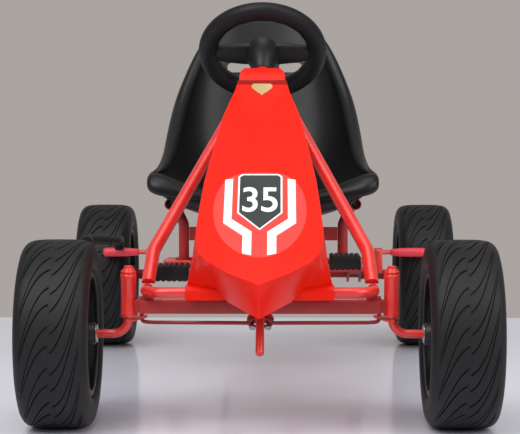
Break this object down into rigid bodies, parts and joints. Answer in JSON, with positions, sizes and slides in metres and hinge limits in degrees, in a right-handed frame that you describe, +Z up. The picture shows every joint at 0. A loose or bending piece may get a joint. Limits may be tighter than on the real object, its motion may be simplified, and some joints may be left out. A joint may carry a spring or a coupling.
{
  "type": "pedal go-kart",
  "caption": "Child's pedal go-kart with a red tube frame, pointed plastic hood, bucket seat, steered front wheels, chain drive to the rear axle and a hand brake.",
  "frame": {"origin": "on the floor, under the middle of the kart", "axes": "-Y is the way the kart drives, +X is the driver's left, +Z is up"},
  "size_m": [0.685, 1.1644, 0.615],
  "materials": {
    "red_paint": "gloss powder coat",
    "hood_plastic": "gloss",
    "black_plastic": "satin",
    "tyre": "matte",
    "steel": "satin",
    "sleeve_plastic": "satin"
  },
  "bodies": {
    "chassis": {"front_axle_beam": "red_paint", "kingpin_sleeve_left": "red_paint", "kingpin_sleeve_right": "red_paint", "front_hoop": "red_paint", "stay_left": "red_paint", "stay_right": "red_paint", "steering_head": "red_paint", "frame_rail_left": "red_paint", "frame_rail_right": "red_paint", "rear_cross_tube": "red_paint", "axle_hanger_left": "red_paint", "axle_hanger_right": "red_paint", "seat_cross_bar": "red_paint", "seat_post_left": "red_paint", "seat_post_right": "red_paint", "seat_rail_left": "red_paint", "seat_rail_right": "red_paint", "seat_tie_plate": "red_paint", "bottom_bracket": "red_paint", "chain_guard": "black_plastic", "brake_bracket_left": "red_paint", "brake_bracket_right": "red_paint", "seat": "black_plastic", "hood": "hood_plastic", "chain": "steel"},
    "steering": {"steering_column": "red_paint", "steering_wheel": "black_plastic", "steering_wheel_cap": "black_plastic", "tie_rod_bolt_left": "steel", "tie_rod_bolt_right": "steel"},
    "knuckle_left": {"stub_axle_left": "red_paint", "kingpin_cap_left": "red_paint"},
    "knuckle_right": {"stub_axle_right": "red_paint", "kingpin_cap_right": "red_paint"},
    "tie_rod_left": {"tie_rod_left": "red_paint"},
    "tie_rod_right": {"tie_rod_right": "red_paint"},
    "front_wheel_left": {"front_tyre_left": "tyre", "front_rim_left": "black_plastic", "front_hub_cap_left": "black_plastic"},
    "front_wheel_right": {"front_tyre_right": "tyre", "front_rim_right": "black_plastic", "front_hub_cap_right": "black_plastic"},
    "rear_axle": {"rear_axle": "red_paint", "axle_sprocket": "steel", "rear_tyre_right": "tyre", "rear_rim_right": "black_plastic", "rear_hub_cap_right": "black_plastic"},
    "rear_wheel_left": {"rear_tyre_left": "tyre", "rear_rim_left": "black_plastic", "rear_hub_cap_left": "black_plastic"},
    "crank": {"crank_rod": "red_paint", "drive_sprocket": "steel"},
    "pedal_left": {"pedal_left": "black_plastic"},
    "pedal_right": {"pedal_right": "black_plastic"},
    "brake": {"brake_bar": "red_paint", "brake_sleeve_left": "sleeve_plastic", "brake_sleeve_right": "sleeve_plastic", "brake_lever": "black_plastic"}
  },
  "joints": [
    {"name": "steering_turn", "type": "hinge", "parent": "chassis", "child": "steering", "pos_m": [0, -0.4035, 0.15], "axis": [0, 0.6947, 0.7193], "range_deg": [-35, 35]},
    {"name": "knuckle_left_turn", "type": "hinge", "parent": "chassis", "child": "knuckle_left", "pos_m": [0.181, -0.4075, 0.18], "axis": [0, 0, 1], "range_deg": [-24.5, 24.5]},
    {"name": "knuckle_right_turn", "type": "hinge", "parent": "chassis", "child": "knuckle_right", "pos_m": [-0.181, -0.4075, 0.18], "axis": [0, 0, 1], "range_deg": [-24.5, 24.5]},
    {"name": "tie_rod_left_turn", "type": "hinge", "parent": "knuckle_left", "child": "tie_rod_left", "pos_m": [0.166, -0.3675, 0.148], "axis": [0, 0, 1], "range_deg": [-27, 27]},
    {"name": "tie_rod_right_turn", "type": "hinge", "parent": "knuckle_right", "child": "tie_rod_right", "pos_m": [-0.166, -0.3675, 0.148], "axis": [0, 0, 1], "range_deg": [-27, 27]},
    {"name": "front_wheel_left_spin", "type": "hinge", "parent": "knuckle_left", "child": "front_wheel_left", "pos_m": [0.276, -0.4075, 0.12937], "axis": [1, 0, 0], "continuous": true},
    {"name": "front_wheel_right_spin", "type": "hinge", "parent": "knuckle_right", "child": "front_wheel_right", "pos_m": [-0.276, -0.4075, 0.12937], "axis": [1, 0, 0], "continuous": true},
    {"name": "axle_spin", "type": "hinge", "parent": "chassis", "child": "rear_axle", "pos_m": [0, 0.4525, 0.12937], "axis": [1, 0, 0], "continuous": true, "deforming": ["chain"]},
    {"name": "rear_wheel_left_spin", "type": "hinge", "parent": "rear_axle", "child": "rear_wheel_left", "pos_m": [0.293, 0.4525, 0.12937], "axis": [1, 0, 0], "continuous": true},
    {"name": "crank_spin", "type": "hinge", "parent": "chassis", "child": "crank", "pos_m": [0, -0.1975, 0.203], "axis": [1, 0, 0], "continuous": true},
    {"name": "pedal_left_spin", "type": "hinge", "parent": "crank", "child": "pedal_left", "pos_m": [0.1275, -0.1095, 0.203], "axis": [1, 0, 0], "continuous": true},
    {"name": "pedal_right_spin", "type": "hinge", "parent": "crank", "child": "pedal_right", "pos_m": [-0.1275, -0.2855, 0.203], "axis": [1, 0, 0], "continuous": true},
    {"name": "brake_turn", "type": "hinge", "parent": "chassis", "child": "brake", "pos_m": [0, 0.3075, 0.1527], "axis": [-1, 0, 0], "range_deg": [0, 17]}
  ],
  "couplings": [
    {"joint": "knuckle_left_turn", "follows": "steering_turn", "ratio": 0.7},
    {"joint": "knuckle_right_turn", "follows": "steering_turn", "ratio": 0.7},
    {"joint": "tie_rod_left_turn", "follows": "steering_turn", "ratio": -0.768},
    {"joint": "tie_rod_right_turn", "follows": "steering_turn", "ratio": -0.768},
    {"joint": "crank_spin", "follows": "axle_spin", "ratio": 0.72727}
  ]
}
